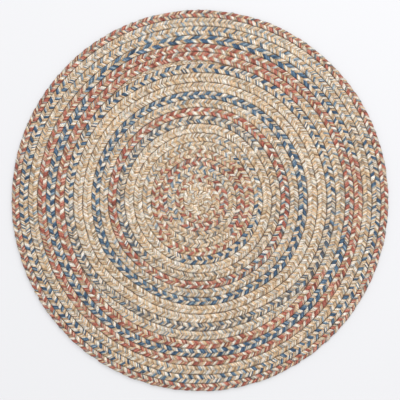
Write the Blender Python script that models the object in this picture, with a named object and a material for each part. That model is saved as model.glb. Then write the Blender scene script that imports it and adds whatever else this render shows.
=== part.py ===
"""A round braided rug lying flat, its rows of plait laced edge to edge.

The middle is one long plait coiled into a disc. Round it lie fifteen butted rings,
each a length of plait closed on itself. Two short tapered rows fill the slack that
hand lacing left between the sixth and the seventh ring. Every row has a domed top
and a flat underside.

Units are metres, and +Z is up. The underside is at z = 0, with the rug's middle over
the origin. Angles are in degrees, anticlockwise from +X as seen from above. Rings
are counted from the rim inwards, and lacing line 0 is the rim itself.
"""

import math
from dataclasses import dataclass

import bmesh
import bpy

# Driving dimensions
RUG_WIDTH = 1.220  # across, along X
RUG_LENGTH = 1.235  # along Y, a little more, as hand lacing left it
CROWN = 0.012  # height of a row at its middle
SHOULDER = 0.0055  # height at which neighbouring rows meet
GAP = 0.0003  # between neighbouring rows
FOOT_INSET = 0.0020  # how far the flat underside stays inside a row's side
CROWN_SHARE = 0.50  # of a row's width, at its full height
FULL_ROW = 0.026  # a row that is narrower than this is lower too

STEPS = 60  # sections in one turn
STEP_ANGLE = 360 / STEPS

# Where hand lacing moved the rows
SPLIT_LINE = 6  # the lacing line that opens round the part rows
SLACK_ROWS = 8  # rings inside the split line that still feel a part row
THINNEST = 0.0012  # a part row's tapered end is cut off at this width
LIFT = 0.0135  # how far the coil's butted end pushes the rings outwards
LIFT_ANGLES = (28, 72, 150, 320)  # it begins, is full, begins to fade, is gone
LIFT_LINES = (8, 13)  # the first line with no lift, and the first with all of it

# The coil
COIL_START = 36  # where its outer end tapers in beside its own next turn
COIL_TAPER = 12  # degrees over which the end grows to a full row
COIL_REACH = 0.1669  # radius of the line inside its first turn, at COIL_BEARING
COIL_BEARING = 64
COIL_PITCH = 0.0264  # from one turn to the next
COIL_DIP = 0.0065  # the turns are drawn in where the end lies outside them
DIP_CENTRE = 60
DIP_HALF = 36
COIL_CORE = 0.0060  # the innermost line ends at this radius
COIL_MIDDLE = (-0.0022, -0.0010)  # the first loop lies this far off the rug's middle


@dataclass(frozen=True)
class Ring:
    """One butted ring: its node, its width at 3 o'clock, and its main colour."""

    name: str
    width: float
    colour: tuple[float, float, float]


@dataclass(frozen=True)
class PartRow:
    """A short row let in at the split line, thin at both ends.

    outward is the share of its width that the rings outside it give way to.
    """

    name: str
    start: float
    end: float
    ramp: float
    width: float
    outward: float
    colour: tuple[float, float, float]


TERRACOTTA = (0.47, 0.13, 0.08)
TAN = (0.67, 0.50, 0.32)
PALE_BLUE = (0.42, 0.45, 0.45)
BLUE = (0.09, 0.16, 0.27)
WHEAT = (0.72, 0.56, 0.36)

RINGS = (
    Ring("ring_01_terracotta", 0.0254, TERRACOTTA),
    Ring("ring_02_pale_blue", 0.0289, PALE_BLUE),
    Ring("ring_03_tan", 0.0299, TAN),
    Ring("ring_04_blue_and_red", 0.0279, BLUE),
    Ring("ring_05_red_and_blue", 0.0286, TERRACOTTA),
    Ring("ring_06_terracotta", 0.0305, TERRACOTTA),
    Ring("ring_07_pale_blue", 0.0286, PALE_BLUE),
    Ring("ring_08_wheat", 0.0305, WHEAT),
    Ring("ring_09_wheat", 0.0318, WHEAT),
    Ring("ring_10_blue", 0.0279, BLUE),
    Ring("ring_11_tan", 0.0299, TAN),
    Ring("ring_12_terracotta", 0.0289, TERRACOTTA),
    Ring("ring_13_pale_blue", 0.0292, PALE_BLUE),
    Ring("ring_14_wheat", 0.0295, WHEAT),
    Ring("ring_15_tan", 0.0276, TAN),
)

PART_ROWS = (
    PartRow("part_row_long", 204, 330, 36, 0.0295, 0.27, TAN),
    PartRow("part_row_short", 72, 138, 24, 0.0128, 0.83, WHEAT),
)


def smooth(share: float) -> float:
    """An even rise from 0 to 1, level at both ends."""
    share = min(1.0, max(0.0, share))
    return share * share * (3 - 2 * share)


def swell(row: PartRow, angle: float) -> float:
    """The share of its full width that a part row has at an angle."""
    return smooth((angle - row.start) / row.ramp) * smooth((row.end - angle) / row.ramp)


def lift_at(angle: float) -> float:
    """The share of LIFT that acts at an angle."""
    begins, full, fades, gone = LIFT_ANGLES
    rise = smooth((angle - begins) / (full - begins))
    return rise * (1 - smooth((angle - fades) / (gone - fades)))


def lacing_line(count: int, angle: float, inner_lip: bool = False) -> float:
    """Radius of the line that has count rings outside it.

    The split line opens round the part rows, so there inner_lip asks for the side
    that lies against the seventh ring.
    """
    angle %= 360
    radius = RUG_WIDTH / 2 - sum(ring.width for ring in RINGS[:count])
    outside = count < SPLIT_LINE or (count == SPLIT_LINE and not inner_lip)
    for row in PART_ROWS:
        width = row.width * swell(row, angle)
        if outside:
            radius += width * row.outward * (count / SPLIT_LINE) ** 2
        else:
            slack = max(0.0, 1 - (count - SPLIT_LINE) / SLACK_ROWS)
            radius -= width * (1 - row.outward) * slack
    first, last = LIFT_LINES
    share = min(1.0, max(0.0, (count - first) / (last - first)))
    return radius + LIFT * lift_at(angle) * share


def coil_line(turned: float) -> float:
    """Radius of the line on the inner side of the coil, which has turned this far."""
    radius = COIL_REACH - COIL_PITCH * (turned - COIL_BEARING) / 360
    off_centre = abs((turned % 360) - DIP_CENTRE) / DIP_HALF
    radius -= COIL_DIP * smooth(1 - off_centre) * radius / COIL_REACH
    rim = lacing_line(len(RINGS), turned)
    grown = min(1.0, (turned - COIL_START) / COIL_TAPER)
    return rim + (radius - rim) * grown


def on_rug(radius: float, angle: float, height: float) -> tuple[float, float, float]:
    """A point of the rug, which is a little longer than it is wide."""
    turned = math.radians(angle)
    stretch = RUG_LENGTH / RUG_WIDTH
    return radius * math.cos(turned), radius * math.sin(turned) * stretch, height


def in_coil(radius: float, angle: float, height: float) -> tuple[float, float, float]:
    """A point of the coil, whose turns close in on COIL_MIDDLE."""
    x, y, z = on_rug(radius, angle, height)
    share = 1 - radius / lacing_line(len(RINGS), angle)
    return x + COIL_MIDDLE[0] * share, y + COIL_MIDDLE[1] * share, z


def crown_height(width: float) -> float:
    """The height of a row of this width."""
    return SHOULDER + (CROWN - SHOULDER) * min(1.0, width / FULL_ROW)


def section(outer: float, inner: float, angle: float) -> list[tuple[float, float, float]]:
    """The six corners of a row between two lines, from its outer foot over its top."""
    outer, inner = outer - GAP / 2, inner + GAP / 2
    width, middle = outer - inner, (outer + inner) / 2
    foot = min(FOOT_INSET, width / 6)
    half_crown = width * CROWN_SHARE / 2
    top = crown_height(width)
    corners = (
        (outer - foot, 0.0),
        (outer, SHOULDER),
        (middle + half_crown, top),
        (middle - half_crown, top),
        (inner, SHOULDER),
        (inner + foot, 0.0),
    )
    return [on_rug(radius, angle, height) for radius, height in corners]


def skin(sections: list[list[tuple[float, float, float]]], closed: bool) -> bmesh.types.BMesh:
    """A solid through sections of six corners, joined into a ring or capped."""
    mesh = bmesh.new()
    loops = [[mesh.verts.new(point) for point in corners] for corners in sections]
    pairs = list(zip(loops, loops[1:] + loops[:1]))
    if not closed:
        pairs.pop()
        mesh.faces.new(loops[0])
        mesh.faces.new(loops[-1])
    for here, there in pairs:
        for side in range(len(here)):
            after = (side + 1) % len(here)
            mesh.faces.new((here[side], here[after], there[after], there[side]))
    return mesh


def ring_mesh(count: int) -> bmesh.types.BMesh:
    """The ring with count rings outside it."""
    angles = [step * STEP_ANGLE for step in range(STEPS)]
    sections = [
        section(lacing_line(count, angle, inner_lip=True), lacing_line(count + 1, angle), angle)
        for angle in angles
    ]
    return skin(sections, closed=True)


def part_row_mesh(row: PartRow) -> bmesh.types.BMesh:
    """A part row, between the two lips of the split line."""
    sections = []
    for step in range(STEPS):
        angle = step * STEP_ANGLE
        if row.start < angle < row.end:
            outer = lacing_line(SPLIT_LINE, angle)
            inner = lacing_line(SPLIT_LINE, angle, inner_lip=True)
            if outer - inner - GAP > THINNEST:
                sections.append(section(outer, inner, angle))
    return skin(sections, closed=False)


def coil_mesh() -> bmesh.types.BMesh:
    """The coiled middle: a flat underside, and one ridge that winds inwards on top."""
    mesh = bmesh.new()
    rim, feet = [], []
    for step in range(STEPS):
        angle = COIL_START + step * STEP_ANGLE
        radius = lacing_line(len(RINGS), angle) - GAP / 2
        rim.append(mesh.verts.new(on_rug(radius, angle, SHOULDER)))
        feet.append(mesh.verts.new(on_rug(radius - FOOT_INSET, angle, 0.0)))
    mesh.faces.new(feet)
    for step in range(STEPS):
        after = (step + 1) % STEPS
        mesh.faces.new((rim[step], rim[after], feet[after], feet[step]))

    # Each line is on the inner side of one turn and on the outer side of the next.
    line, reach = [rim[0]], [lacing_line(len(RINGS), COIL_START) - GAP / 2]
    ridge = [(rim[0], rim[0])]
    step = 1
    while coil_line(COIL_START + step * STEP_ANGLE) > COIL_CORE:
        turned = COIL_START + step * STEP_ANGLE
        if step < STEPS:
            outer_vert, outer = rim[step], lacing_line(len(RINGS), turned) - GAP / 2
        else:
            outer_vert, outer = line[step - STEPS], reach[step - STEPS]
        inner = coil_line(turned)
        middle, half_crown = (outer + inner) / 2, (outer - inner) * CROWN_SHARE / 2
        top = crown_height(outer - inner)
        high = mesh.verts.new(in_coil(middle + half_crown, turned, top))
        low = mesh.verts.new(in_coil(middle - half_crown, turned, top))
        line.append(mesh.verts.new(in_coil(inner, turned, SHOULDER)))
        reach.append(inner)
        ridge.append((high, low))
        before = rim[step - 1] if step <= STEPS else line[step - 1 - STEPS]
        here = (outer_vert, high, low, line[-1])
        there = (before, *ridge[-2], line[-2])
        for side in range(3):
            corners = (here[side], here[side + 1], there[side + 1], there[side])
            mesh.faces.new(dict.fromkeys(corners))
        step += 1

    # The first loop of the coil is closed over with a low knob.
    last = step - 1
    eye = mesh.verts.new(in_coil(0.0, 0.0, CROWN))
    edge = [line[last - STEPS], *ridge[-1], *reversed(line[last - STEPS + 1 :])]
    for here, there in zip(edge, edge[1:] + edge[:1]):
        mesh.faces.new((here, there, eye))
    return mesh


def plait_material(name: str, colour: tuple[float, float, float]) -> bpy.types.Material:
    """A dull woollen finish in one colour."""
    material = bpy.data.materials.new(name)
    material.use_nodes = True
    shader = material.node_tree.nodes["Principled BSDF"]
    shader.inputs["Base Color"].default_value = (*colour, 1.0)
    shader.inputs["Roughness"].default_value = 0.92
    shader.inputs["Metallic"].default_value = 0.0
    material.diffuse_color = (*colour, 1.0)
    return material


def add_piece(name: str, mesh: bmesh.types.BMesh, colour: tuple[float, float, float]) -> None:
    """Puts a solid in the scene under its own name, shaded smooth, with its own finish."""
    bmesh.ops.recalc_face_normals(mesh, faces=mesh.faces)
    data = bpy.data.meshes.new(name)
    mesh.to_mesh(data)
    mesh.free()
    data.shade_smooth()
    data.set_sharp_from_angle(angle=math.radians(50))
    data.materials.append(plait_material(name, colour))
    bpy.context.scene.collection.objects.link(bpy.data.objects.new(name, data))


def build_rug() -> None:
    """Clears the scene and makes the rings, the part rows and the coil."""
    for old in list(bpy.data.objects):
        bpy.data.objects.remove(old, do_unlink=True)
    for count, ring in enumerate(RINGS):
        add_piece(ring.name, ring_mesh(count), ring.colour)
    for row in PART_ROWS:
        add_piece(row.name, part_row_mesh(row), row.colour)
    add_piece("coil", coil_mesh(), TERRACOTTA)


build_rug()
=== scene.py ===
"""A round braided wool rug, dressed plait by plait.

Each row of the rug is made as a real three-strand plait. A strand is a flat band of six
soft yarns, three on its face and three on its back, and it runs over one neighbour and
under the other all along the row. Fifteen closed rings, two short part rows and the
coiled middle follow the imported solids, and one dark thread laces them edge to edge.

Units are metres and +Z is up. Angles are in degrees, anticlockwise from +X as seen
from above. Rings are counted from the rim inwards, and lacing line 0 is the rim.
"""

import logging
import math
from dataclasses import dataclass
from enum import Enum

import bpy
import numpy as np
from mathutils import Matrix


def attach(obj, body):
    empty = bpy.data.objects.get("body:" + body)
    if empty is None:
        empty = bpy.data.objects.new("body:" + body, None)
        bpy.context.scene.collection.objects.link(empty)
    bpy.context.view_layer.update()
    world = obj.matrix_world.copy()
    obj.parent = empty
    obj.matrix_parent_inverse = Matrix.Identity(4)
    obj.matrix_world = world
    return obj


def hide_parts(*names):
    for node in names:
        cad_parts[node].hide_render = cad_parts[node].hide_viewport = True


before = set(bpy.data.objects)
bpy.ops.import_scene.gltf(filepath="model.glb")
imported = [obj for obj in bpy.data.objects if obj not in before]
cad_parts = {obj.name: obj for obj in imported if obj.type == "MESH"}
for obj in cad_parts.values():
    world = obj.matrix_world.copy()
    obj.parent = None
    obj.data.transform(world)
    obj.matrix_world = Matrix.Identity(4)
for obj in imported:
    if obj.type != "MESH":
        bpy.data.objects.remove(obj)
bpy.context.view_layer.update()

LOG = logging.getLogger("braided_rug")

# The rug's driving sizes, the same as those of its solids
RUG_WIDTH = 1.220
RUG_LENGTH = 1.235
CROWN = 0.012  # height of a full row at its middle
SHOULDER = 0.0055  # height of the thinnest row
FULL_ROW = 0.026  # rows at least this wide have the full height
SPLIT_LINE = 6  # the lacing line that the part rows are let in at
SLACK_ROWS = 8  # how many lines further in still give way to them
LIFT = 0.0135  # how far out the inner rings lie across the rug's top side
LIFT_ANGLES = (28, 72, 150, 320)  # where that begins, is full, fades and is gone
LIFT_LINES = (8, 13)  # the last line without it, and the first with all of it
COIL_START = 36  # angle of the coil's outer end
COIL_TAPER = 12
COIL_REACH = 0.1669  # radius of the coil's own line at COIL_BEARING
COIL_BEARING = 64
COIL_PITCH = 0.0264
COIL_MOST_TURNS = 8  # more than it has room for
COIL_DIP = 0.0065  # how far the coil's line is pressed in near one angle
DIP_CENTRE = 60
DIP_HALF = 36
COIL_MIDDLE = (-0.0022, -0.0010)

# Sizes of the plaits alone
ROW_GAP = 0.0003
FINE_STEP = 0.25  # degrees between a track's samples
THINNEST = 0.0016  # width of the thinnest strip that holds a plait
THINNEST_TURN = 0.0034  # and of that among the coil's inner turns
COIL_TIP = 1.0  # degrees from COIL_START to where its plait begins
CURL_HOLE = 0.0060  # radius inside which the coil's plait gives way to a curl
FAN_RADIUS = 0.0020  # from here out to a row's width, its stitches stop fanning out
LEAST_RADIUS = 0.0004
TUCK_DROP = 0.30  # how much lower the plait's end lies, under the curl's outer end
TUCK_ANGLE = 130

# Where nearly all of a noise texture's values lie
NOISE_LOW, NOISE_HIGH = 0.3, 0.7

PART_ROW_SEED = 40
COIL_SEED = 60

Array = np.ndarray


# --------------------------------------------------------------------------- yarns


class Yarn(Enum):
    """The dyed yarns, each by its colour in daylight (sRGB, 0 to 255)."""

    WHITE = (234, 228, 218)
    CREAM = (229, 217, 200)
    OATMEAL = (218, 198, 171)
    WHEAT = (224, 196, 161)
    TAN = (205, 176, 142)
    CAMEL = (180, 150, 117)
    ROSE = (205, 158, 139)
    BRICK = (191, 122, 104)
    RUST = (169, 99, 83)
    PALE_SKY = (184, 191, 194)
    SKY = (142, 160, 173)
    SLATE = (97, 123, 145)
    NAVY = (69, 95, 122)
    STONE = (170, 161, 150)
    CHARCOAL = (104, 107, 113)

    def linear(self) -> tuple[float, float, float]:
        """The colour as the renderer counts it.

        Returns:
            Its red, green and blue light, from 0 to 1.
        """
        return tuple(
            c / 12.92 if c <= 0.04045 else ((c + 0.055) / 1.055) ** 2.4
            for c in (value / 255 for value in self.value)
        )


class Wool(Enum):
    """A strand, by the six yarns that lie round it."""

    CREAM = ("CREAM", "WHITE", "OATMEAL", "CREAM", "WHITE", "WHEAT")
    IVORY = ("WHITE", "CREAM", "WHITE", "PALE_SKY", "CREAM", "TAN")
    WHEAT = ("WHEAT", "CREAM", "WHEAT", "CAMEL", "WHITE", "OATMEAL")
    TAN = ("TAN", "WHEAT", "TAN", "OATMEAL", "CREAM", "CAMEL")
    RED = ("BRICK", "RUST", "BRICK", "RUST", "ROSE", "TAN")
    ROSE = ("TAN", "ROSE", "CAMEL", "OATMEAL", "BRICK", "ROSE")
    BLUE = ("NAVY", "SLATE", "SLATE", "SKY", "NAVY", "SLATE")
    HEATHER = ("TAN", "SKY", "OATMEAL", "TAN", "SLATE", "CREAM")
    SLATE = ("NAVY", "SLATE", "CREAM", "SLATE", "SKY", "NAVY")
    SKY = ("SKY", "PALE_SKY", "SLATE", "OATMEAL", "SKY", "CREAM")
    DUSK = ("CHARCOAL", "SKY", "STONE", "SLATE", "CHARCOAL", "OATMEAL")
    MIST = ("PALE_SKY", "OATMEAL", "STONE", "CREAM", "SKY", "WHEAT")
    STONE = ("STONE", "OATMEAL", "TAN", "STONE", "CHARCOAL", "CREAM")
    EMBER = ("CHARCOAL", "STONE", "SKY", "ROSE", "STONE", "OATMEAL")

    def colours(self) -> Array:
        """Its six yarns' colours, one a row."""
        return np.array([Yarn[name].linear() for name in self.value])


@dataclass(frozen=True)
class Mix:
    """Three strands plaited together.

    shares says how much of the row's face each strand has, and stitch_round is the
    length in which all three have come up once on each side.
    """

    strands: tuple[Wool, Wool, Wool]
    shares: tuple[float, float, float] = (0.36, 0.34, 0.30)
    stitch_round: float = 0.0358


class Braid(Enum):
    """The colourways that the rug changes between."""

    RED_CHARCOAL = Mix((Wool.RED, Wool.CREAM, Wool.EMBER), (0.43, 0.34, 0.23), 0.0362)
    RED_TAN = Mix((Wool.RED, Wool.IVORY, Wool.ROSE), (0.45, 0.34, 0.21), 0.0390)
    RED_OAT = Mix((Wool.RED, Wool.CREAM, Wool.ROSE), (0.44, 0.33, 0.23), 0.0390)
    RED_SLATE = Mix((Wool.RED, Wool.IVORY, Wool.DUSK), (0.42, 0.34, 0.24), 0.0372)
    RED_STONE = Mix((Wool.RED, Wool.CREAM, Wool.EMBER), (0.38, 0.34, 0.28), 0.0345)
    PALE_RED = Mix((Wool.RED, Wool.CREAM, Wool.TAN), (0.32, 0.35, 0.33), 0.0350)
    ROSY = Mix((Wool.ROSE, Wool.CREAM, Wool.TAN), (0.36, 0.34, 0.30), 0.0350)
    DEEP_BLUE = Mix((Wool.BLUE, Wool.CREAM, Wool.TAN), (0.48, 0.31, 0.21), 0.0525)
    BLUE = Mix((Wool.BLUE, Wool.CREAM, Wool.HEATHER), (0.46, 0.35, 0.19), 0.0365)
    SLATE = Mix((Wool.SLATE, Wool.CREAM, Wool.TAN), (0.38, 0.34, 0.28), 0.0352)
    DUSK = Mix((Wool.DUSK, Wool.CREAM, Wool.STONE), (0.38, 0.34, 0.28), 0.0352)
    SKY = Mix((Wool.SKY, Wool.CREAM, Wool.TAN), (0.34, 0.34, 0.32), 0.0350)
    MIST = Mix((Wool.MIST, Wool.CREAM, Wool.WHEAT), (0.34, 0.34, 0.32), 0.0350)
    STONE = Mix((Wool.STONE, Wool.CREAM, Wool.TAN), (0.34, 0.34, 0.32), 0.0355)
    TAN = Mix((Wool.TAN, Wool.CREAM, Wool.MIST), (0.36, 0.34, 0.30), 0.0355)
    WHEAT = Mix((Wool.WHEAT, Wool.CREAM, Wool.TAN), (0.36, 0.34, 0.30), 0.0358)
    PALE_WHEAT = Mix((Wool.WHEAT, Wool.CREAM, Wool.WHEAT), (0.34, 0.37, 0.29), 0.0358)


# ---------------------------------------------------------------------------- rows

Stretches = tuple[tuple[float, Braid], ...]


@dataclass(frozen=True)
class Ring:
    """One butted ring: its node, material slot, width, and each braid up to an angle."""

    node: str
    slot: str
    width: float
    stretches: Stretches


@dataclass(frozen=True)
class PartRow:
    """A short row let in at the split line, thin at both ends.

    outward is the share of its width that the rings outside it give way to.
    """

    node: str
    slot: str
    start: float
    end: float
    ramp: float
    width: float
    outward: float
    stretches: Stretches


RINGS = (
    Ring("ring_01_terracotta", "terracotta_plait", 0.0254, ((360, Braid.RED_CHARCOAL),)),
    Ring(
        "ring_02_pale_blue",
        "pale_blue_plait",
        0.0289,
        ((20, Braid.SLATE), (137, Braid.MIST), (360, Braid.SLATE)),
    ),
    Ring(
        "ring_03_tan",
        "tan_plait",
        0.0299,
        ((30, Braid.STONE), (130, Braid.SKY), (360, Braid.TAN)),
    ),
    Ring(
        "ring_04_blue_and_red",
        "blue_and_red_plait",
        0.0279,
        (
            (15, Braid.RED_TAN),
            (44, Braid.SLATE),
            (137, Braid.DEEP_BLUE),
            (210, Braid.RED_TAN),
            (360, Braid.RED_OAT),
        ),
    ),
    Ring(
        "ring_05_red_and_blue",
        "blue_and_red_plait",
        0.0286,
        ((30, Braid.RED_CHARCOAL), (137, Braid.RED_TAN), (345, Braid.BLUE), (360, Braid.RED_SLATE)),
    ),
    Ring(
        "ring_06_terracotta",
        "terracotta_plait",
        0.0305,
        ((44, Braid.TAN), (225, Braid.RED_TAN), (330, Braid.RED_OAT), (360, Braid.TAN)),
    ),
    Ring("ring_07_pale_blue", "pale_blue_plait", 0.0286, ((180, Braid.SLATE), (360, Braid.DUSK))),
    Ring("ring_08_wheat", "wheat_plait", 0.0305, ((360, Braid.PALE_WHEAT),)),
    Ring(
        "ring_09_wheat",
        "wheat_plait",
        0.0318,
        ((200, Braid.PALE_WHEAT), (330, Braid.WHEAT), (360, Braid.PALE_WHEAT)),
    ),
    Ring("ring_10_blue", "blue_plait", 0.0279, ((360, Braid.BLUE),)),
    Ring("ring_11_tan", "tan_plait", 0.0299, ((360, Braid.TAN),)),
    Ring(
        "ring_12_terracotta",
        "terracotta_plait",
        0.0289,
        ((30, Braid.RED_SLATE), (290, Braid.RED_TAN), (360, Braid.RED_SLATE)),
    ),
    Ring(
        "ring_13_pale_blue",
        "pale_blue_plait",
        0.0292,
        ((40, Braid.STONE), (225, Braid.DUSK), (360, Braid.STONE)),
    ),
    Ring(
        "ring_14_wheat",
        "wheat_plait",
        0.0295,
        ((45, Braid.WHEAT), (310, Braid.PALE_WHEAT), (360, Braid.WHEAT)),
    ),
    Ring(
        "ring_15_tan",
        "tan_plait",
        0.0276,
        ((42, Braid.SKY), (90, Braid.TAN), (235, Braid.PALE_WHEAT), (360, Braid.SLATE)),
    ),
)

PART_ROWS = (
    PartRow(
        "part_row_long", "tan_plait", 204, 330, 36, 0.0295, 0.27, ((360, Braid.MIST),)
    ),
    PartRow(
        "part_row_short", "wheat_plait", 72, 138, 24, 0.0128, 0.83, ((360, Braid.WHEAT),)
    ),
)

COIL_STRETCHES: Stretches = (
    (50, Braid.SLATE),
    (215, Braid.TAN),
    (405, Braid.PALE_RED),
    (495, Braid.ROSY),
    (587, Braid.PALE_RED),
    (672, Braid.STONE),
    (935, Braid.RED_STONE),
    (1110, Braid.STONE),
    (1310, Braid.SKY),
    (1500, Braid.RED_STONE),
    (1720, Braid.PALE_RED),
    (1860, Braid.ROSY),
    (2600, Braid.PALE_WHEAT),
)


# -------------------------------------------------------------------------- layout


def smooth(share: Array | float) -> Array:
    """An even rise from 0 to 1, level at both ends."""
    share = np.clip(share, 0.0, 1.0)
    return share * share * (3 - 2 * share)


def swell(row: PartRow, angle: Array) -> Array:
    """The share of its full width that a part row has at each angle."""
    return smooth((angle - row.start) / row.ramp) * smooth((row.end - angle) / row.ramp)


def lift_at(angle: Array) -> Array:
    """The share of LIFT that acts at each angle.

    Args:
        angle: The angles, from 0 to 360.

    Returns:
        One share for each angle.
    """
    begins, full, fades, gone = LIFT_ANGLES
    rise = smooth((angle - begins) / (full - begins))
    return rise * (1 - smooth((angle - fades) / (gone - fades)))


def lacing_line(count: int, turned: Array, inner_lip: bool = False) -> Array:
    """Radius of the line that has some rings outside it.

    Args:
        count: How many rings lie outside the line.
        turned: The angles to give it at, in degrees.
        inner_lip: At the split line, whether to take the side against the seventh ring.

    Returns:
        One radius for each angle.
    """
    angle = np.asarray(turned, dtype=float) % 360
    radius = np.full_like(angle, RUG_WIDTH / 2 - sum(ring.width for ring in RINGS[:count]))
    outside = count < SPLIT_LINE or (count == SPLIT_LINE and not inner_lip)
    for row in PART_ROWS:
        width = row.width * swell(row, angle)
        if outside:
            radius += width * row.outward * (count / SPLIT_LINE) ** 2
        else:
            slack = max(0.0, 1 - (count - SPLIT_LINE) / SLACK_ROWS)
            radius -= width * (1 - row.outward) * slack
    first, last = LIFT_LINES
    share = min(1.0, max(0.0, (count - first) / (last - first)))
    return radius + LIFT * lift_at(angle) * share


def coil_line(turned: Array) -> Array:
    """Radius of the line on the inner side of the coil.

    Args:
        turned: How far the coil has turned, in degrees that go on past 360.

    Returns:
        One radius for each of them.
    """
    radius = COIL_REACH - COIL_PITCH * (turned - COIL_BEARING) / 360
    off_centre = np.abs((turned % 360) - DIP_CENTRE) / DIP_HALF
    radius = radius - COIL_DIP * smooth(1 - off_centre) * radius / COIL_REACH
    rim = lacing_line(len(RINGS), turned)
    grown = np.clip((turned - COIL_START) / COIL_TAPER, 0.0, 1.0)
    return np.maximum(rim + (radius - rim) * grown, 0.0)


@dataclass
class Track:
    """The strip of ground that one row covers, between an outer and an inner line.

    turned holds the angles along it, and outer and inner the radii of its two sides.
    A closed track's last angle is its first again. coiled tracks close in on the
    coil's own middle.
    """

    turned: Array
    outer: Array
    inner: Array
    closed: bool
    coiled: bool = False

    def __post_init__(self) -> None:
        """Measures the middle line."""
        self.middle = (self.outer + self.inner) / 2
        self.half = (self.outer - self.inner) / 2
        followed = self.middle
        if self.coiled:  # near the middle, where its stitches fan out, the outer side
            followed = self.outer - self.half * smooth((self.inner - FAN_RADIUS) / FULL_ROW)
        points = self.on_rug(followed, self.turned, np.zeros_like(self.middle))
        steps = np.linalg.norm(np.diff(points, axis=0), axis=1)
        self.run = np.concatenate([[0.0], np.cumsum(steps)])
        self.length = float(self.run[-1])

    def on_rug(self, radius: Array, turned: Array, height: Array) -> Array:
        """Puts points in the rug's own outline, which is longer than wide.

        Args:
            radius: The radii, as on a round rug.
            turned: The angles, in degrees.
            height: The heights.

        Returns:
            The points, with their coordinates last.
        """
        angle = np.radians(turned)
        x = radius * np.cos(angle)
        y = radius * np.sin(angle) * RUG_LENGTH / RUG_WIDTH
        if self.coiled:
            share = 1 - radius / lacing_line(len(RINGS), turned)
            x = x + COIL_MIDDLE[0] * share
            y = y + COIL_MIDDLE[1] * share
        return np.stack([x, y, height], axis=-1)

    def angle_at(self, run: Array) -> Array:
        """The angle reached after each length of the middle line.

        Args:
            run: The lengths, which may go past either end.

        Returns:
            The angles, in degrees that go on past 360.
        """
        if not self.closed:
            held = np.clip(run, 0.0, self.length)
            past = np.degrees((run - held) / np.interp(held, self.run, self.middle))
            return np.interp(held, self.run, self.turned) + past
        laps = np.floor(run / self.length)
        return np.interp(run - laps * self.length, self.run, self.turned) + 360 * laps

    def half_at(self, run: Array) -> Array:
        """Half the row's width after each length."""
        within = run % self.length if self.closed else run
        return np.interp(within, self.run, self.half)

    def full_at(self, run: Array) -> Array:
        """How near the row is to its full height after each length.

        Args:
            run: The lengths along the middle line.

        Returns:
            Shares from 0 to 1.
        """
        full = np.minimum(1.0, 2 * self.half_at(run) / FULL_ROW)
        if self.coiled:
            turned = self.angle_at(run)
            full = np.where(turned > COIL_START + 360, 1.0, full)
            full = full * (1 - TUCK_DROP * smooth(1 - (self.turned[-1] - turned) / TUCK_ANGLE))
        return full

    def place(self, run: Array, side: Array, height: Array) -> Array:
        """Puts points on the rug from their places along and across the row.

        Args:
            run: Their lengths along the middle line.
            side: How far out from it they lie.
            height: Their heights.

        Returns:
            The points, with their coordinates last.
        """
        within = run % self.length if self.closed else run
        middle = np.interp(within, self.run, self.middle)
        radius = np.maximum(middle + side, LEAST_RADIUS)
        return self.on_rug(radius, self.angle_at(run), height)


def whole_turn() -> Array:
    """The angles of a closed track."""
    return np.arange(0.0, 360.0 + FINE_STEP / 2, FINE_STEP)


def ring_track(count: int) -> Track:
    """The track of one butted ring.

    Args:
        count: How many rings lie outside it.

    Returns:
        The track.
    """
    turned = whole_turn()
    outer = lacing_line(count, turned, inner_lip=True) - ROW_GAP / 2
    inner = lacing_line(count + 1, turned) + ROW_GAP / 2
    return Track(turned, outer, inner, closed=True)


def part_row_track(row: PartRow) -> Track:
    """The track of a part row, as far as it is wide enough to hold a plait.

    Args:
        row: The part row.

    Returns:
        The track.
    """
    turned = np.arange(row.start, row.end, FINE_STEP)
    outer = lacing_line(SPLIT_LINE, turned) - ROW_GAP / 2
    inner = lacing_line(SPLIT_LINE, turned, inner_lip=True) + ROW_GAP / 2
    kept = outer - inner > THINNEST
    return Track(turned[kept], outer[kept], inner[kept], closed=False)


def coil_track() -> Track:
    """The track of the coil, from its tapered outer end to the rug's middle.

    Returns:
        The track.
    """
    turned = np.arange(COIL_START + COIL_TIP, COIL_START + COIL_MOST_TURNS * 360, FINE_STEP)
    rim = lacing_line(len(RINGS), turned)
    outer = np.where(turned < COIL_START + 360, rim, coil_line(turned - 360)) - ROW_GAP / 2
    inner = np.maximum(coil_line(turned), CURL_HOLE) + ROW_GAP / 2
    thinnest = np.where(turned < COIL_START + 360, THINNEST, THINNEST_TURN)
    kept = outer - inner > thinnest
    return Track(turned[kept], outer[kept], inner[kept], closed=False, coiled=True)


# -------------------------------------------------------------------------- plaits


PAINTED_SHADE = np.array((0.006, 0.004, 0.004))  # painted shade: the colour painted down between stitches of any yarn, where they shade each other
PAINTED_BOUNCE = 0.58  # painted bounce light: how much light, twice off a yarn, still comes out of that painted shade


@dataclass(frozen=True)
class Bend:
    """A place on a strand's way from one edge of its row to the other.

    along is the share of half a stitch round, across the share of its reach from the
    row's middle, height runs from -1 on the row's underside to 1 on its face, narrow is
    the share of its width that it keeps, and shade the share of its colour that shows;
    the rest is painted shade, deepest where the strand runs under its neighbours.
    """

    along: float
    across: float
    height: float
    narrow: float
    shade: float


# Over the outer half of the row, down at its middle, and on under the other half
# painted shade: the last column darkens the row's edge and middle, and all of the under-bend
CROSSING = (
    Bend(0.00, 1.00, 0.30, 1.08, 0.55),
    Bend(0.12, 0.86, 0.86, 1.02, 1.00),
    Bend(0.34, 0.46, 1.00, 1.05, 1.00),
    Bend(0.56, 0.00, 0.40, 0.90, 0.50),
    Bend(0.76, -0.42, -1.00, 1.20, 0.00),
)


@dataclass(frozen=True)
class Corner:
    """A corner of a strand's section, as shares of its half width and half thickness.

    shade is the share of its colour that shows; the rest is painted shade, which
    falls between two stitches and in the valleys between yarns.
    """

    across: float
    up: float
    shade: float
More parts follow.
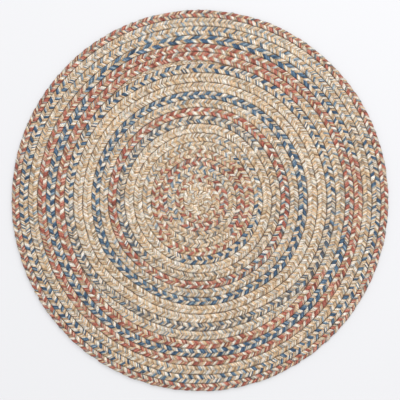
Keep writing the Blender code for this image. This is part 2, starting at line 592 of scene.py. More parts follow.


# One flat side of the section: three yarns lie on it, with a valley after each;
# painted shade lies in each valley and at the edge between two stitches
YARN_CORNERS = (
    Corner(-0.70, 0.82, 1.00),
    Corner(-0.36, 0.76, 0.34),
    Corner(0.00, 1.00, 1.00),
    Corner(0.36, 0.76, 0.34),
    Corner(0.70, 0.82, 1.00),
    Corner(1.00, 0.00, 0.05),
)


def section() -> tuple[Array, Array]:
    """The corners of a strand's section, for a half width and half thickness of 1.

    Returns:
        How far across each lies, and how far up.
    """
    x = np.array([corner.across for corner in YARN_CORNERS])
    y = np.array([corner.up for corner in YARN_CORNERS])
    return np.concatenate([x, -x]), np.concatenate([y, -y])


def faces_of(values: Array, closed: bool) -> Array:
    """Gathers what a strand's faces need from values held at its points.

    Args:
        values: One value for each section and corner.
        closed: Whether the last section joins the first.

    Returns:
        Values by section and corner, with those of the face's own four corners last.
    """
    here = values if closed else values[:-1]
    there = np.roll(values, -1, axis=0) if closed else values[1:]
    return np.stack([here, there, np.roll(there, -1, axis=1), np.roll(here, -1, axis=1)], -1)


@dataclass
class Strand:
    """The skin of one strand.

    points are by section and corner. colours are those of its yarns at each section,
    and shades the share of them that shows at each point, the rest being painted shade.
    step is the usual distance between two sections.
    """

    points: Array
    colours: Array
    shades: Array
    step: float
    closed: bool

    def face_colours(self) -> Array:
        """The colours at the corners of its faces, with painted shade blended in.

        Returns:
            One colour a row, in the order of faces_of.
        """
        sides = self.shades.shape[1]
        yarn = (np.arange(sides) + 1) % sides // 2
        shade = faces_of(self.shades, self.closed)[..., None]
        colour = self.colours[: len(shade), yarn, None, :]
        # painted shade, lit a little by painted bounce light off the yarn's own colour
        painted_shade_colour = PAINTED_SHADE + colour ** 2 * PAINTED_BOUNCE
        return (colour * shade + painted_shade_colour * (1 - shade)).reshape(-1, 3)

    def unrolled(self) -> tuple[float, float]:
        """Presses the strand flat and pulls it straight.

        Returns:
            Its width and its length.
        """
        corner = faces_of(self.points, self.closed)
        across = corner[..., 2] - corner[..., 0], corner[..., 3] - corner[..., 1]
        skin = np.linalg.norm(np.cross(*across), axis=-1).sum() / 2
        middle = self.points.mean(axis=1)
        if self.closed:
            middle = np.append(middle, middle[:1], axis=0)
        length = np.linalg.norm(np.diff(middle, axis=0), axis=1).sum()
        return float(skin / 2 / length), float(length)


def put(name: str, data: bpy.types.ID) -> bpy.types.Object:
    """Puts an object in the scene.

    Args:
        name: Its name.
        data: Its mesh, lamp or camera.

    Returns:
        The object.
    """
    holder = bpy.data.objects.new(name, data)
    bpy.context.scene.collection.objects.link(holder)
    return holder


@dataclass
class YarnMesh:
    """Several strands as one mesh, with their yarn colours and painted shade, and two maps."""

    name: str
    strands: list[Strand]

    girth: float = 0.038  # the way round a strand, which sets the bake map's proportions
    edge: float = 0.004  # share of the bake map left bare at both sides
    margin: float = 0.06  # and of each strip's height above and below its strand
    cap_fill: float = 0.8  # how much of its place on the map an end cap fills

    def build(self) -> bpy.types.Object:
        """Makes the piece.

        Returns:
            The mesh object.
        """
        self.sides = self.strands[0].points.shape[1]
        quads, caps, count = [], [], 0
        for strand in self.strands:
            grid = np.arange(strand.shades.size).reshape(strand.shades.shape) + count
            quads.append(faces_of(grid, strand.closed).reshape(-1, 4))
            if not strand.closed:
                caps += [grid[0][::-1], grid[-1]]
            count += strand.shades.size
        self.caps = len(caps)
        data = self.skin(np.concatenate(quads), caps)
        self.paint(data)
        self.map_yarns(data)
        self.map_bake(data)
        return put(self.name, data)

    def skin(self, quads: Array, caps: list[Array]) -> bpy.types.Mesh:
        """The mesh of these four-sided faces and end caps, creased between yarns.

        Args:
            quads: Four points for each face.
            caps: The points round each strand's open ends.

        Returns:
            The mesh.
        """
        data = bpy.data.meshes.new(self.name)
        verts = np.concatenate([strand.points.reshape(-1, 3) for strand in self.strands])
        corners = np.concatenate([quads.ravel(), *caps]).astype(np.int32)
        starts = np.arange(len(quads) + len(caps)) * 4
        starts[len(quads):] = len(quads) * 4 + np.arange(len(caps)) * self.sides
        data.vertices.add(len(verts))
        data.loops.add(len(corners))
        data.polygons.add(len(starts))
        data.vertices.foreach_set("co", verts.astype(np.float32).ravel())
        data.loops.foreach_set("vertex_index", corners)
        data.polygons.foreach_set("loop_start", starts.astype(np.int32))
        data.update(calc_edges=True)
        data.shade_smooth()
        ends = np.empty(len(data.edges) * 2, dtype=np.int32)
        data.edges.foreach_get("vertices", ends)
        column = ends.reshape(-1, 2) % self.sides
        valley = (column[:, 0] == column[:, 1]) & (column[:, 0] % 2 == 1)
        sharp = data.attributes.new("sharp_edge", "BOOLEAN", "EDGE")
        sharp.data.foreach_set("value", valley)
        return data

    def paint(self, data: bpy.types.Mesh) -> None:
        """Stores the yarn colours, with their painted shade, on the face corners.

        Args:
            data: The mesh.
        """
        hues = np.concatenate([strand.face_colours() for strand in self.strands])
        ends = np.tile(hues.mean(axis=0), (self.caps * self.sides, 1))
        colours = np.ones((len(hues) + len(ends), 4))
        colours[:, :3] = np.concatenate([hues, ends])
        layer = data.attributes.new("yarn_colour_and_shade", "FLOAT_COLOR", "CORNER")
        layer.data.foreach_set("color", colours.astype(np.float32).ravel())

    def map_yarns(self, data: bpy.types.Mesh) -> None:
        """Adds a map that runs along each yarn in metres, and across it from 0 to 1.

        Args:
            data: The mesh.
        """
        parts = []
        for strand in self.strands:
            rows, sides = strand.shades.shape
            along = np.arange(rows + 1)[:, None] * strand.step * np.ones(sides)
            around = np.ones(rows + 1)[:, None] * (np.arange(sides) + 1) / 2
            over = np.array([0.0, 0.0, 0.5, 0.5])
            u = faces_of(along, False)[: rows if strand.closed else rows - 1]
            v = around[: len(u), :, None] + over
            parts.append(np.stack([u, v], -1).reshape(-1, 2))
        parts.append(np.zeros((self.caps * self.sides, 2)))
        layer = data.uv_layers.new(name="yarn_run")
        layer.uv.foreach_set("vector", np.concatenate(parts).astype(np.float32).ravel())

    def map_bake(self, data: bpy.types.Mesh) -> None:
        """Adds a map with every strand laid out in strips, none over another.

        Args:
            data: The mesh.
        """
        lengths = [len(s.shades) - (0 if s.closed else 1) for s in self.strands]
        per_strip = math.ceil(math.sqrt(sum(lengths) * self.girth / self.strands[0].step))
        total = sum(math.ceil(length / per_strip) for length in lengths) + min(1, self.caps)
        parts, first = [], 0
        for length in lengths:
            here = np.arange(length)
            low = (first + here // per_strip + self.margin) / total
            left = self.edge + (1 - 2 * self.edge) * (here % per_strip) / per_strip
            right = left + (1 - 2 * self.edge) / per_strip
            u = np.stack([left, right, right, left], -1)[:, None, :] * np.ones((self.sides, 1))
            tall = (1 - 2 * self.margin) / total / self.sides
            v = low[:, None, None] + tall * (np.arange(self.sides)[:, None] + [0, 0, 1, 1])
            parts.append(np.stack([u, v], -1).reshape(-1, 2))
            first += math.ceil(length / per_strip)
        around = 2 * math.pi * np.arange(self.sides) / self.sides
        cell = 1 / max(total, self.caps)
        radius = self.cap_fill * cell / 2
        for cap in range(self.caps):
            u = (cap + 0.5) * cell + radius * np.cos(around)
            v = (total - 0.5) / total + radius * np.sin(around)
            parts.append(np.stack([u, v], -1))
        layer = data.uv_layers.new(name="OFBake")
        layer.uv.foreach_set("vector", np.concatenate(parts).astype(np.float32).ravel())


@dataclass
class PlaitedRow:
    """One row of the rug: three strands plaited along a track."""

    node: str
    slot: str
    track: Track
    stretches: Stretches
    seed: int

    rim: bool = False  # whether nothing lies outside the row
    samples: int = 4001  # along the row, for laying out its stitches
    squeeze: float = 0.0016  # how far neighbouring rows press into each other
    thick: float = 0.0028  # a strand's half thickness in a full row
    thick_drift: float = 0.03  # how far that drifts
    drift_every: int = 7  # sections from one draw of it to the next
    flattest: float = 0.42  # a strand's half thickness over a thin row's half width
    overlap: float = 1.05  # a strand's width over its share of the stitch round
    lean: float = 0.10  # how much further on the outer stitches reach, and the inner less
    jitter: float = 0.08  # how far stitches differ in width
    uneven_reach: float = 0.0009  # and in how far they reach across the row
    most_short: float = 0.2  # the most that one falls short, over the row's half width
    most_over: float = 0.1  # and the most that it goes too far
    uneven_height: float = 0.0004
    yarn_tone: float = 0.17  # how far yarns of one dye differ in tone
    palest: float = 0.05  # and the furthest that one goes towards light
    stitch_tone: float = 0.0  # and whole stitches of one wool, here not at all
    blur_rounds: int = 3  # stitch rounds in which one stretch turns into the next
    twist_pull: float = 1.2  # length on the map of the yarn's twist for each length of row

    def __post_init__(self) -> None:
        """Lays out the stitches along the track."""
        self.draw = np.random.default_rng(self.seed)
        self.yarns = len(YARN_CORNERS)
        self.sections = 2 * len(CROSSING)
        self.fine = np.linspace(0.0, self.track.length, self.samples)
        rounds = self.round_at(self.track.angle_at(self.fine))
        steps = np.diff(self.fine) / ((rounds[1:] + rounds[:-1]) / 2)
        phase = np.concatenate([[0.0], np.cumsum(steps)])
        self.rounds = int(round(phase[-1]))
        self.phase = phase * self.rounds / phase[-1]

    def braid_at(self, turned: Array) -> Array:
        """The stretch that each angle falls in.

        Args:
            turned: The angles, in degrees.

        Returns:
            The stretches' numbers.
        """
        ends = np.array([end for end, _ in self.stretches[:-1]])
        angle = turned % 360 if self.track.closed else turned
        return np.searchsorted(ends, angle, side="right")

    def round_at(self, turned: Array) -> Array:
        """The stitch round at each angle."""
        sizes = np.array([braid.value.stitch_round for _, braid in self.stretches])
        return sizes[self.braid_at(turned)]

    def wander(self, count: int, size: float, every: int) -> Array:
        """A soft random drift about zero, which meets its own start.

        Args:
            count: How many values to give.
            size: The usual size of the drift.
            every: How many values there are between two draws.

        Returns:
            The drift, one value for each place.
        """
        knots = max(3, count // every)
        drawn = self.draw.normal(0.0, size, knots)
        drawn = np.append(drawn, drawn[0])
        return np.interp(np.linspace(0, knots, count, endpoint=False), range(knots + 1), drawn)

    def strand(self, number: int) -> Strand:
        """Plaits one of the three strands.

        Args:
            number: Which of them, from 0 to 2.

        Returns:
            The strand.
        """
        bends = len(CROSSING)
        crossings = 2 * self.rounds
        along = np.array([bend.along for bend in CROSSING])
        way = 1 - 2 * (np.arange(crossings) % 2)
        leaning = along * (1 + self.lean * way[:, None])
        turns = ((np.arange(crossings)[:, None] + leaning) / 2).ravel()
        way = np.repeat(way, bends)
        if not self.track.closed:
            turns = np.append(turns, self.rounds)
            way = np.append(way, 1)
        stitch = (np.arange(len(turns)) + 1) // bends
        run, share = self.settle(turns, number)
        points = self.points(run, way, share, stitch % crossings)
        step = float(np.mean(self.round_at(self.track.turned))) * self.twist_pull / self.sections
        colours = self.colours(number, run, stitch)
        return Strand(points, colours, self.shades(len(run)), step, self.track.closed)

    def settle(self, turns: Array, number: int) -> tuple[Array, Array]:
        """Finds where a strand's sections lie along the row.

        Args:
            turns: How many stitch rounds each section is from the strand's own start.
            number: Which of the three strands.

        Returns:
            How far along the row each section is, and the strand's share of the face.
        """
        shares = np.array([braid.value.shares for _, braid in self.stretches])
        starts = np.cumsum(shares, axis=1) - shares / 2
        stretch = self.braid_at(self.track.angle_at(np.interp(turns, self.phase, self.fine)))
        start = self.blur(starts[stretch, number])
        share = self.blur(shares[stretch, number])
        if not self.track.closed:
            return np.interp(turns - start, self.phase, self.fine), share
        laps = np.floor((turns - start) / self.rounds)
        run = np.interp(turns - start - laps * self.rounds, self.phase, self.fine)
        return run + self.track.length * laps, share

    def points(self, run: Array, way: Array, share: Array, stitch: Array) -> Array:
        """The skin of a strand.

        Args:
            run: How far along the row each section is.
            way: 1 for sections that come in from the row's outer edge, -1 for the others.
            share: The strand's share of the row's face at each section.
            stitch: The number of the stitch that each section is in.

        Returns:
            Points by section and corner.
        """
        part = np.arange(len(run)) % len(CROSSING)
        across, height, narrow = (
            np.array([getattr(bend, name) for bend in CROSSING])[part]
            for name in ("across", "height", "narrow")
        )
        half = self.track.half_at(run)
        full = self.track.full_at(run)
        middle = (SHOULDER + (CROWN - SHOULDER) * full) / 2
        thick = np.minimum(self.thick * 2 * middle / CROWN, self.flattest * half)
        thick = thick * (1 + self.wander(len(run), self.thick_drift, self.drift_every))
        crossings = 2 * self.rounds
        width = self.round_at(self.track.angle_at(run)) * share / 2 * self.overlap * narrow
        width = width * (1 + self.draw.normal(0.0, self.jitter, crossings)[stitch])
        press = np.where((way * across > 0) & self.rim, 0.0, self.squeeze)
        uneven = self.draw.normal(0.0, self.uneven_reach, crossings)[stitch]
        uneven = np.clip(uneven, -self.most_short * half, self.most_over * half)
        side = way * across * (half + press - thick + uneven)
        height = height * (middle - thick)
        height = height + self.draw.normal(0.0, self.uneven_height, crossings)[stitch] * full

        ahead = np.stack([self.change(side), self.change(height)], axis=-1)
        ahead /= np.linalg.norm(ahead, axis=1, keepdims=True)
        x, y = section()
        return self.track.place(
            run[:, None] + x * width[:, None],
            side[:, None] - y * (thick * ahead[:, 1])[:, None],
            np.clip((middle + height)[:, None] + y * (thick * ahead[:, 0])[:, None], 0.0, CROWN),
        )

    def change(self, values: Array) -> Array:
        """The change at each section.

        Args:
            values: One value for each section.

        Returns:
            The steps from the value before to the value after.
        """
        if self.track.closed:
            return np.roll(values, -1) - np.roll(values, 1)
        return np.gradient(values)

    def blur(self, values: Array) -> Array:
        """Evens out the steps between stretches.

        Args:
            values: One value for each section.

        Returns:
            The values, each a mean of those around it.
        """
        width = self.blur_rounds * self.sections + 1
        kernel = np.hanning(width + 2)[1:-1]
        mode = "wrap" if self.track.closed else "edge"
        padded = np.pad(values, width // 2, mode=mode)
        return np.convolve(padded, kernel / kernel.sum(), mode="valid")

    def shades(self, rows: int) -> Array:
        """The share of its colour that each point of a strand shows, the rest being painted shade.

        Args:
            rows: How many sections the strand has.

        Returns:
            Shares by section and corner.
        """
        along = np.array([bend.shade for bend in CROSSING])[np.arange(rows) % len(CROSSING)]
        around = np.array([corner.shade for corner in YARN_CORNERS] * 2)
        return along[:, None] * around[None, :]

    def colours(self, number: int, run: Array, stitch: Array) -> Array:
        """The colour of each yarn at each section of one strand.

        Args:
            number: Which of the three strands.
            run: How far along the row each section is.
            stitch: The number of the stitch that each section is in.

        Returns:
            Colours by section and yarn.
        """
        stitches = int(stitch[-1]) + 1
        first = np.minimum(np.arange(stitches) * len(CROSSING), len(run) - 1)
        late = self.draw.normal(0.0, 1.0, stitches)
        stretch = self.braid_at(self.track.angle_at(run[first]) + late)
        wools = [braid.value.strands[number] for _, braid in self.stretches]
        table = np.array([wool.colours() for wool in wools])
        order = np.array([self.draw.permutation(self.yarns) for _ in range(stitches)])
        colours = table[stretch[:, None], order]
        tone = self.draw.normal(0.0, self.yarn_tone, (stitches, self.yarns))
        tone += self.draw.normal(0.0, self.stitch_tone, (stitches, 1))
        tone = np.minimum(tone, self.palest)
        colours = np.clip(colours * (1 + tone[..., None]), 0.0, 1.0)
        if self.track.closed:
            stitch = stitch % (stitches - 1)
        return colours[stitch]

    def strands(self) -> list[Strand]:
        """All that the row is made of."""
        return [self.strand(number) for number in range(3)]

    def build(self) -> bpy.types.Object:
        """Makes the row."""
        self.made = self.strands()
        return YarnMesh(self.node + "_plait", self.made).build()

    def cut_size(self) -> tuple[float, float]:
        """The width and length of the wool that the row's three strands are plaited from."""
        widths, lengths = zip(*(strand.unrolled() for strand in self.made[:3]))
        return sum(widths), sum(lengths) / len(lengths)

    def dress(self, piece: bpy.types.Object, material: bpy.types.Material) -> None:
        """Gives the row its finish, and ties it to the frame.

        Args:
            piece: The row.
            material: Its finish.
        """
        piece.data.materials.append(material)
        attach(piece, "root")
        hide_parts(self.node)
        self.cut_size()


@dataclass
class CoiledRow(PlaitedRow):
    """The coil, whose plait ends in a small curl of one strand over another."""

    squeeze: float = 0.0024
    curl_turns: float = 1.55
    curl_outer: float = 0.0140  # radius of the curl's own middle line at its outer end
    curl_inner: float = 0.0020
    curl_fall: float = 2.2  # how fast it closes in
    curl_half: float = 0.0038  # half the strand's width there
    under_drop: float = 0.0036  # how much lower the strand under it lies
    under_early: float = 60  # and how many degrees it runs ahead
    curl_sections: int = 56
    curl_growth: float = 0.12  # share of its length in which it comes up to full size
    curl_start: float = 0.35  # and its size at the start
    curl_rise: float = 0.0025  # how far it climbs there
    curl_thinning: float = 0.4  # how much thinner it is at its tip
    curl_tip: float = 0.96  # the share of its length where the tip rounds off
    curl_close: float = 20  # and how quickly it does
    curl_wool: Wool = Wool.WHEAT
    packed: tuple[float, float] = (0.86, 0.95)  # shares of its length where it tightens
    packed_shade: float = 0.26  # how much less painted shade there is between the stitches after that

    def shades(self, rows: int) -> Array:
        """The share of its colour that each point shows, more in the tightest turns, with less
        painted shade.

        Args:
            rows: How many sections the strand has.

        Returns:
            Shares by section and corner.
        """
        begun, done = self.packed
        near = smooth((np.arange(rows) / rows - begun) / (done - begun))
        shades = super().shades(rows)
        return shades + (1 - shades) * self.packed_shade * near[:, None]

    def strands(self) -> list[Strand]:
        """The three plaited strands, the curl and the one under it."""
        under = self.curl(self.under_early, self.under_drop)
        return [*super().strands(), self.curl(0.0, 0.0), under]

    def curl(self, early: float, drop: float) -> Strand:
        """A strand that closes the middle, thinner towards its tip.

        Args:
            early: How many degrees it runs ahead of the plait's tucked end.
            drop: How far below the rug's face its top lies.

        Returns:
            The strand.
        """
        share = np.linspace(0.0, 1.0, self.curl_sections)
        turned = self.track.turned[-1] - TUCK_ANGLE - early + 360 * self.curl_turns * share
        fall = (1 - share) ** self.curl_fall
        radius = self.curl_inner + (self.curl_outer - self.curl_inner) * fall
        begun = smooth(share / self.curl_growth)
        size = self.curl_half * (self.curl_start + (1 - self.curl_start) * begun)
        size = size * (1 - self.curl_thinning * share)
        size = size * np.sqrt(1 - self.curl_close * np.clip(share - self.curl_tip, 0.0, 1.0))
        top = CROWN - drop - self.curl_rise * (1 - begun)
        x, y = section()
        points = self.track.on_rug(
            radius[:, None] - x * size[:, None],
            turned[:, None] + 0 * x,
            (top - size)[:, None] + y * size[:, None],
        )
        colours = np.tile(self.curl_wool.colours(), (self.curl_sections, 1, 1))
        # painted shade in the valleys between the curl's yarns and at its edges
        around = np.array([corner.shade for corner in YARN_CORNERS] * 2)
        step = 2 * math.pi * self.curl_turns * float(radius.mean()) / self.curl_sections
        return Strand(points, colours, np.tile(around, (self.curl_sections, 1)), step, False)


@dataclass
class LacingThread:
    """The thread that laces the rows edge to edge, a thin dark line in their grooves."""

    name: str = "lacing_thread"
    slot: str = "tan_plait"
    radius: float = 0.0010
    height: float = 0.0060
    sway: float = 0.0008  # how far each stitch swings to either side of its groove
    stitch: float = 0.0060
    sides: int = 4
    tight: float = 0.0380  # the coil's grooves are laced in to this radius

    def grooves(self) -> list[Track]:
        """The lines between the rows.

        Returns:
            Each as a track of no width.
        """
        turned = whole_turn()
        found = []
        for count in range(1, len(RINGS) + 1):
            line = lacing_line(count, turned)
            found.append(Track(turned, line, line, closed=True))
        for row in PART_ROWS:
            inner = part_row_track(row)
            found.append(Track(inner.turned, inner.inner, inner.inner, closed=False))
        turned = np.arange(COIL_START, COIL_START + COIL_MOST_TURNS * 360, FINE_STEP)
        line = coil_line(turned)
        kept = line > self.tight
        found.append(Track(turned[kept], line[kept], line[kept], closed=False, coiled=True))
        return found

    def build(self) -> bpy.types.Object:
        """Makes the thread as one mesh of thin tubes.

        Returns:
            The mesh object.
        """
        verts, faces, self.length = [], [], 0.0
        corner = 2 * math.pi * np.arange(self.sides) / self.sides
        count = 0
        for groove in self.grooves():
            rows = 2 * max(2, round(groove.length / self.stitch / 2))
            run = np.linspace(0.0, groove.length, rows, endpoint=not groove.closed)
            swing = self.sway * (1 - 2 * (np.arange(rows) % 2))
            points = groove.place(
                run[:, None] + 0 * corner,
                swing[:, None] + self.radius * np.cos(corner),
                self.height + self.radius * np.sin(corner) + 0 * run[:, None],
            )
            grid = count + np.arange(rows * self.sides).reshape(rows, self.sides)
            faces += faces_of(grid, groove.closed).reshape(-1, 4).tolist()
            if not groove.closed:
                faces += [grid[0][::-1].tolist(), grid[-1].tolist()]
            verts.append(points.reshape(-1, 3))
            count += rows * self.sides
            self.length += groove.length
        data = bpy.data.meshes.new(self.name)
        data.from_pydata(np.concatenate(verts).tolist(), [], faces)
        data.shade_smooth()
        return put(self.name, data)

    def dress(self, piece: bpy.types.Object, material: bpy.types.Material) -> None:
        """Gives the thread its finish, and ties it to the frame.

        Args:
            piece: The thread.
            material: Its finish.
        """
        piece.data.materials.append(material)
        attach(piece, "root")


# ------------------------------------------------------------------------ finishes


class Recipe:
    """A new material, and short calls that add nodes to it and join them."""

    def __init__(self, name: str) -> None:
        """Makes the plain material.

        Args:
            name: Its name.
        """
        self.material = bpy.data.materials.new(name)
        self.material.use_nodes = True
        self.tree = self.material.node_tree
        self.shader = self.tree.nodes["Principled BSDF"]

    def feed(self, node: bpy.types.Node, inputs: dict[str, object]) -> None:
        """Sets a node's inputs, or joins them to outputs of other nodes.

        Args:
            node: The node.
            inputs: A value or an output socket for each input, by its identifier.
        """
        sockets = {socket.identifier: socket for socket in node.inputs}
        for name, value in inputs.items():
            if isinstance(value, bpy.types.NodeSocket):
                self.tree.links.new(value, sockets[name])
            else:
                sockets[name].default_value = value

    def add(
        self, kind: str, inputs: dict[str, object] | None = None, **settings: object
    ) -> dict[str, bpy.types.NodeSocket]:
        """Adds a node.

        Args:
            kind: Its type, without the words that start the name of each.
            inputs: What its inputs get, as in feed.
            **settings: Its own settings.

        Returns:
            Its outputs, by their identifiers.
        """
        node = self.tree.nodes.new("ShaderNode" + kind)
        for name, value in settings.items():
            setattr(node, name, value)
        self.feed(node, inputs or {})
        return {socket.identifier: socket for socket in node.outputs}


@dataclass(frozen=True)
class WoolFinish:
    """Matt, softly fuzzy wool yarn whose colour, painted shade included, comes from the mesh."""

    name: str
    mottle: float = 0.22  # how far the dye varies between fibres
    fibre_scale: float = 900.0
    clump: float = 0.40  # and between small clumps of them
    clump_scale: float = 260.0
    heather_detail: float = 2.0
    motley: float = 0.15  # from 0, where they differ in tone alone, to 1, in hue too
    darker: float = 1.15  # how much further it goes towards dark
    lighter: float = 0.85  # than towards light
    ply_length: float = 0.0060  # from one twist of the yarn to the next
    ply_depth: float = 0.00035
    fuzz_scale: float = 900.0
    fuzz_detail: float = 4.0
    fuzz_depth: float = 0.00025
    roughness: float = 0.95
    sheen: float = 0.12
    sheen_roughness: float = 0.6
    gloss: float = 0.15

    def build(self) -> bpy.types.Material:
        """Makes the material.

        Returns:
            The material.
        """
        recipe = Recipe(self.name)
        surface = {
            "Roughness": self.roughness,
            "Sheen Weight": self.sheen,
            "Sheen Roughness": self.sheen_roughness,
            "Specular IOR Level": self.gloss,
            "Base Color": self.colour(recipe),
            "Normal": self.relief(recipe),
        }
        recipe.feed(recipe.shader, surface)
        return recipe.material

    def colour(self, recipe: Recipe) -> bpy.types.NodeSocket:
        """The yarn's colour and painted shade, heathered by finer fibres and by soft clumps of
        them.

        Args:
            recipe: The material to add it to.

        Returns:
            The output that has it.
        """
        hue = recipe.add("Attribute", attribute_name="yarn_colour_and_shade")["Color"]
        place = recipe.add("TexCoord")["Object"]
        for scale, spread in ((self.fibre_scale, self.mottle), (self.clump_scale, self.clump)):
            fibres = recipe.add(
                "TexNoise", {"Vector": place, "Scale": scale, "Detail": self.heather_detail}
            )
            mixed = {
                "Factor_Float": self.motley,
                "A_Color": fibres["Fac"],
                "B_Color": fibres["Color"],
            }
            tint = recipe.add("Mix", mixed, data_type="RGBA")
            spans = {
                "Vector": tint["Result_Color"],
                "From_Min_FLOAT3": (NOISE_LOW,) * 3,
                "From_Max_FLOAT3": (NOISE_HIGH,) * 3,
                "To_Min_FLOAT3": (1 - spread * self.darker,) * 3,
                "To_Max_FLOAT3": (1 + spread * self.lighter,) * 3,
            }
            shade = recipe.add("MapRange", spans, data_type="FLOAT_VECTOR")
            dyed = {"Vector": hue, "Vector_001": shade["Vector"]}
            hue = recipe.add("VectorMath", dyed, operation="MULTIPLY")["Vector"]
        return hue

    def relief(self, recipe: Recipe) -> bpy.types.NodeSocket:
        """The slant of the plied yarn, and loose fibres on it.

        Args:
            recipe: The material to add it to.

        Returns:
            The output that has it.
        """
        run = recipe.add("UVMap", uv_map="yarn_run")
        split = recipe.add("SeparateXYZ", {"Vector": run["UV"]})
        twists = {"Value": split["X"], "Value_001": 2 * math.pi / self.ply_length}
        along = recipe.add("Math", twists, operation="MULTIPLY")
        slants = {"Value": split["Y"], "Value_001": 2 * math.pi, "Value_002": along["Value"]}
        slant = recipe.add("Math", slants, operation="MULTIPLY_ADD")
        wave = recipe.add("Math", {"Value": slant["Value"]}, operation="SINE")
        ply = recipe.add("Bump", {"Distance": self.ply_depth, "Height": wave["Value"]})
        place = recipe.add("TexCoord")["Object"]
        hairs = recipe.add(
            "TexNoise", {"Vector": place, "Scale": self.fuzz_scale, "Detail": self.fuzz_detail}
        )
        loose = {"Distance": self.fuzz_depth, "Height": hairs["Fac"], "Normal": ply["Normal"]}
        return recipe.add("Bump", loose)["Normal"]


@dataclass(frozen=True)
class ThreadFinish:
    """Dull dark linen thread, twisted and a little uneven in tone."""

    name: str = "linen_thread"
    colour: tuple[float, float, float] = (0.110, 0.055, 0.032)
    pale: tuple[float, float, float] = (0.280, 0.165, 0.100)
    fleck_scale: float = 420.0
    twist_scale: float = 900.0
    twist_depth: float = 0.0002
    roughness: float = 0.9
    gloss: float = 0.15

    def build(self) -> bpy.types.Material:
        """Makes the material.

        Returns:
            The material.
        """
        recipe = Recipe(self.name)
        place = recipe.add("TexCoord")["Object"]
        flecks = recipe.add("TexNoise", {"Vector": place, "Scale": self.fleck_scale})
        tones = recipe.add("ValToRGB", {"Fac": flecks["Fac"]})["Color"]
        dark, light = tones.node.color_ramp.elements
        dark.color = (*self.colour, 1.0)
        light.color = (*self.pale, 1.0)
        plies = {"Vector": place, "Scale": self.twist_scale}
        twist = recipe.add("TexWave", plies, bands_direction="DIAGONAL")
        bump = recipe.add("Bump", {"Distance": self.twist_depth, "Height": twist["Fac"]})
        surface = {
            "Roughness": self.roughness,
            "Specular IOR Level": self.gloss,
            "Base Color": tones,
            "Normal": bump["Normal"],
        }
        recipe.feed(recipe.shader, surface)
        return recipe.material


@dataclass(frozen=True)
class FloorFinish:
    """Pale matt paint that gives off a little light of its own, to stay even."""

    name: str = "floor_paint"
    colour: tuple[float, float, float] = (0.32, 0.32, 0.33)
    glow: tuple[float, float, float] = (0.424, 0.426, 0.433)
    roughness: float = 0.9
    gloss: float = 0.1

    def build(self) -> bpy.types.Material:
        """Makes the material.

        Returns:
            The material.
        """
        recipe = Recipe(self.name)
        surface = {
            "Base Color": (*self.colour, 1.0),
            "Emission Color": (*self.glow, 1.0),
            "Emission Strength": 1.0,
            "Roughness": self.roughness,
            "Specular IOR Level": self.gloss,
        }
        recipe.feed(recipe.shader, surface)
        return recipe.material


# -------------------------------------------------------------------------- studio


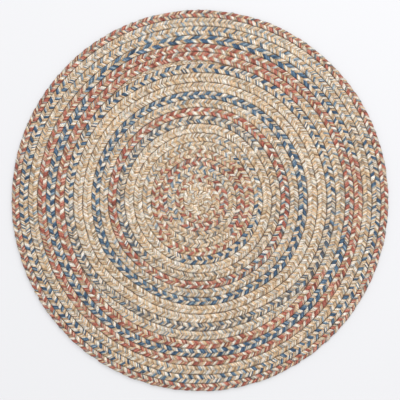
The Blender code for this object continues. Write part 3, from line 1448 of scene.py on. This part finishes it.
@dataclass
class Studio:
    """A pale floor under soft light, with the camera straight above the rug."""

    photo_width: float = 400.0  # in pixels
    rug_pixels: float = 377.4  # the rug's width in the photo
    centre_drop: float = 0.5  # how far its middle lies below the photo's, in pixels
    lens: float = 150.0
    sensor: float = 36.0
    floor_size: float = 30.0
    floor_depth: float = 0.0002  # how far it lies below the rug
    sky: float = 1.034
    lamp_power: float = 175.0
    lamp_bearing: float = 62.0
    lamp_height: float = 50.0  # the angle above the floor that it shines from
    lamp_distance: float = 5.0
    lamp_size: float = 3.0

    def build(self) -> None:
        """Sets up the floor, the light and the camera."""
        self.lay_floor()
        self.light()
        self.aim()

    def lay_floor(self) -> None:
        """Lays a plain matt floor just under the rug."""
        half = self.floor_size / 2
        data = bpy.data.meshes.new("floor")
        corners = [(-half, -half, 0), (half, -half, 0), (half, half, 0), (-half, half, 0)]
        data.from_pydata(corners, [], [(0, 1, 2, 3)])
        data.materials.append(FloorFinish().build())
        floor = put("floor", data)
        floor.location.z = -self.floor_depth

    def light(self) -> None:
        """Lights an even white sky, and one large soft lamp high on the right."""
        world = bpy.data.worlds.new("studio")
        world.use_nodes = True
        sky = world.node_tree.nodes["Background"]
        sky.inputs["Color"].default_value = (1.0, 1.0, 1.0, 1.0)
        sky.inputs["Strength"].default_value = self.sky
        bpy.context.scene.world = world
        data = bpy.data.lights.new("lamp", "AREA")
        data.size = self.lamp_size
        data.energy = self.lamp_power
        lamp = put("lamp", data)
        bearing, height = math.radians(self.lamp_bearing), math.radians(self.lamp_height)
        lamp.location = (
            self.lamp_distance * math.cos(height) * math.cos(bearing),
            self.lamp_distance * math.cos(height) * math.sin(bearing),
            self.lamp_distance * math.sin(height),
        )
        lamp.rotation_euler = (math.pi / 2 - height, 0.0, bearing + math.pi / 2)
        bpy.context.scene.view_settings.view_transform = "Standard"

    def aim(self) -> None:
        """Puts the camera so far above the rug that it fills the picture as in the photo."""
        data = bpy.data.cameras.new("camera")
        data.lens = self.lens
        data.sensor_width = self.sensor
        across = RUG_WIDTH * self.photo_width / self.rug_pixels
        drop = self.centre_drop * across / self.photo_width
        camera = put("camera", data)
        camera.location = (0.0, drop, CROWN / 2 + across * self.lens / self.sensor)
        bpy.context.scene.camera = camera


# ---------------------------------------------------------------------------- main


def plaited_rows() -> list[PlaitedRow]:
    """Lays out every row of the rug: its rings from the rim in, its part rows and its coil.

    Returns:
        The rows, none of them made yet.
    """
    rings = [
        PlaitedRow(
            ring.node, ring.slot, ring_track(count), ring.stretches, seed=count, rim=count == 0
        )
        for count, ring in enumerate(RINGS)
    ]
    part_rows = [
        PlaitedRow(
            row.node, row.slot, part_row_track(row), row.stretches, seed=PART_ROW_SEED + count
        )
        for count, row in enumerate(PART_ROWS)
    ]
    coil = CoiledRow("coil", "red_and_tan_coil", coil_track(), COIL_STRETCHES, seed=COIL_SEED)
    return [*rings, *part_rows, coil]


def main() -> None:
    """Builds the studio, every row of the rug, and the thread that laces them."""
    logging.basicConfig(level=logging.INFO, format="%(name)s: %(message)s")
    Studio().build()
    finishes = {}
    for row in plaited_rows():
        if row.slot not in finishes:
            finishes[row.slot] = WoolFinish(row.slot).build()
        piece = row.build()
        row.dress(piece, finishes[row.slot])
        LOG.info(
            "%s: %.2f m of plait, %d stitch rounds, %d faces",
            piece.name, row.track.length, row.rounds, len(piece.data.polygons),
        )
    thread = LacingThread()
    piece = thread.build()
    thread.dress(piece, ThreadFinish().build())
    LOG.info("%s: %.1f m laced", piece.name, thread.length)


if __name__ == "__main__":
    main()
